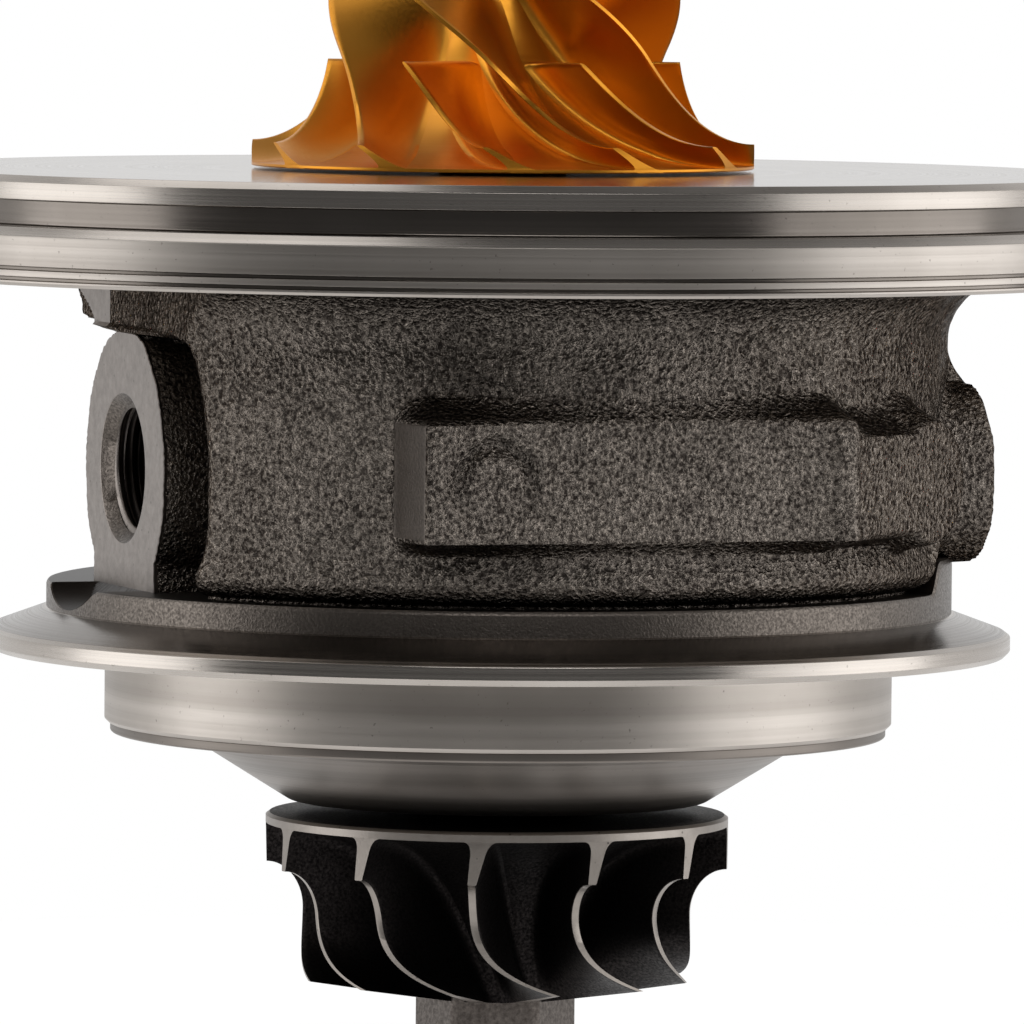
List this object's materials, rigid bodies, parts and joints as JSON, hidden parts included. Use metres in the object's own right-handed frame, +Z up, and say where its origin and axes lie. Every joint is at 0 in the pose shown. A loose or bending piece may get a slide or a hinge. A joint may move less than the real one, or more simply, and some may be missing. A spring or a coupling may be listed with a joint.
{
  "type": "turbo cartridge",
  "caption": "Turbocharger centre cartridge: cast bearing housing with oil ports, floating rotor with compressor and turbine wheels, grooved back plate and dished heat shield.",
  "frame": {"origin": "on the rotor axis, on the lower seating face of the turbine clamp flange, where the pilot starts", "axes": "+Z up the rotor axis to the compressor wheel, -Y to the front with the cast pad, +X to the viewer's right; the drain flange points 19.3 degrees behind +X"},
  "size_m": [0.1274, 0.1274, 0.1231],
  "materials": {
    "cast_iron": "sand cast, turned and milled where it seats",
    "turned_steel": "fine turned",
    "screw_steel": "phosphated",
    "rubber": "moulded",
    "gold_aluminium": "milled and anodised",
    "ground_steel": "ground",
    "cast_superalloy": "investment cast, blade edges machined",
    "bronze": "turned",
    "sheet_steel": "pressed",
    "spring_steel": "oiled",
    "ring_iron": "ground",
    "shield_steel": "pressed and turned"
  },
  "bodies": {
    "housing": {"bearing_housing": "cast_iron", "compressor_backplate": "turned_steel", "backplate_screws": "screw_steel", "backplate_o_ring": "rubber", "thrust_bearing": "bronze", "thrust_bearing_pins": "ground_steel", "oil_deflector": "sheet_steel", "compressor_bearing_outer_clip": "spring_steel", "compressor_bearing_inner_clip": "spring_steel", "turbine_bearing_inner_clip": "spring_steel", "turbine_bearing_outer_clip": "spring_steel", "compressor_seal_ring": "ring_iron", "turbine_seal_ring": "ring_iron", "heat_shield": "shield_steel"},
    "rotor": {"shaft": "ground_steel", "turbine_wheel": "cast_superalloy", "thrust_collar": "ground_steel", "flinger_sleeve": "ground_steel", "compressor_wheel": "gold_aluminium", "shaft_nut": "screw_steel"},
    "compressor_bush": {"compressor_journal_bearing": "bronze"},
    "turbine_bush": {"turbine_journal_bearing": "bronze"}
  },
  "joints": [
    {"name": "rotor_spin", "type": "hinge", "parent": "housing", "child": "rotor", "pos_m": [0, 0, 0], "axis": [0, 0, 1], "continuous": true},
    {"name": "compressor_bush_spin", "type": "hinge", "parent": "housing", "child": "compressor_bush", "pos_m": [0, 0, 0.0205], "axis": [0, 0, 1], "continuous": true},
    {"name": "turbine_bush_spin", "type": "hinge", "parent": "housing", "child": "turbine_bush", "pos_m": [0, 0, 0.0025], "axis": [0, 0, 1], "continuous": true}
  ]
}
